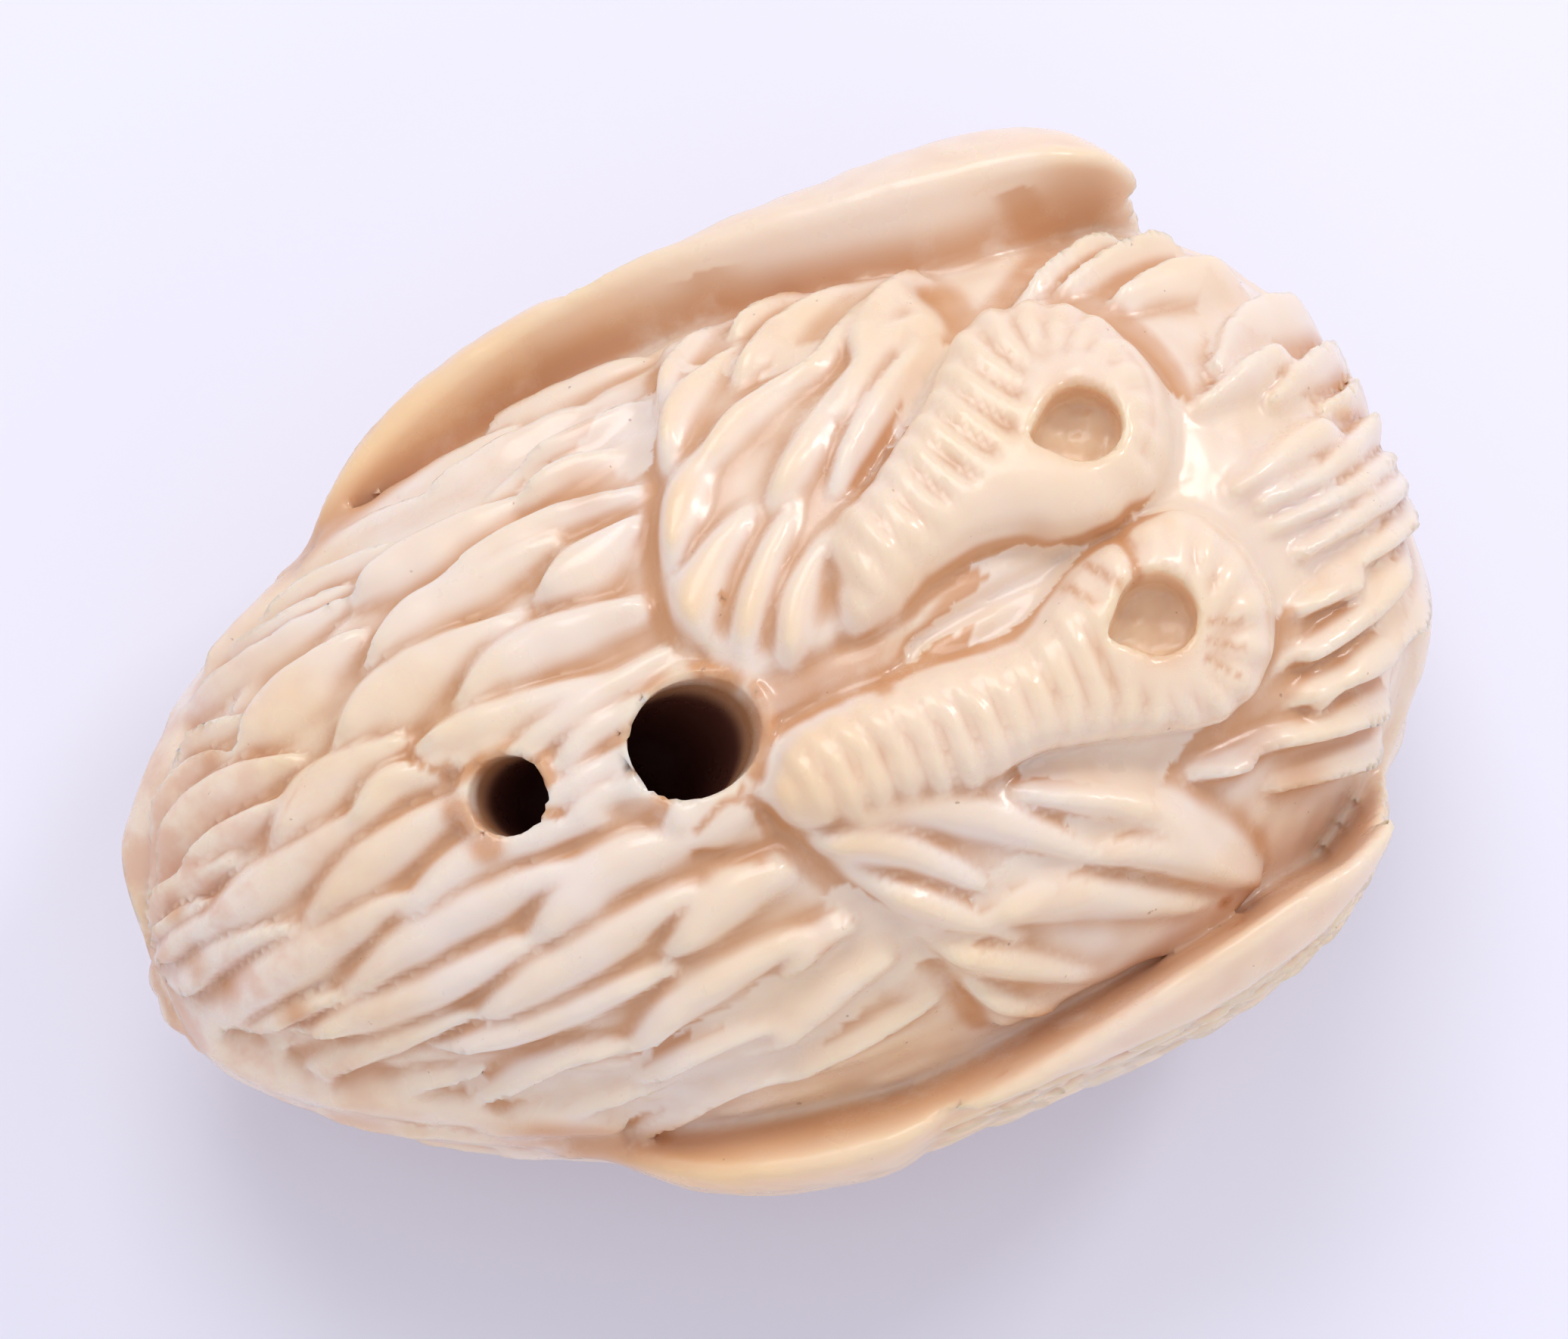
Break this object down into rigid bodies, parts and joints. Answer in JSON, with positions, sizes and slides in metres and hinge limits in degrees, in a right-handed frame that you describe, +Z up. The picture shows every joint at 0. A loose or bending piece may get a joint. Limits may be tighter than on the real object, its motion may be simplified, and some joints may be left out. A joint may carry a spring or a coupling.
{
  "type": "carved netsuke toggle",
  "caption": "Ivory-coloured netsuke carved as a plump quail lying on its back, with drawn-in legs, closed feet, folded wings and a V-shaped cord passage through the belly.",
  "frame": {"origin": "centre of the bounding box at its base, which is the plane of the worn flats on the bird's back", "axes": "+X towards the breast, -X towards the tail, +Y towards the bird's right wing, +Z up out of the belly"},
  "size_m": [0.046, 0.0328, 0.0233],
  "materials": {
    "ivory": "polished, with warm stain in the grooves",
    "dark_horn": "polished"
  },
  "bodies": {
    "root": {"carved_body": "ivory", "right_eye_inlay": "dark_horn", "left_eye_inlay": "dark_horn"}
  },
  "joints": []
}
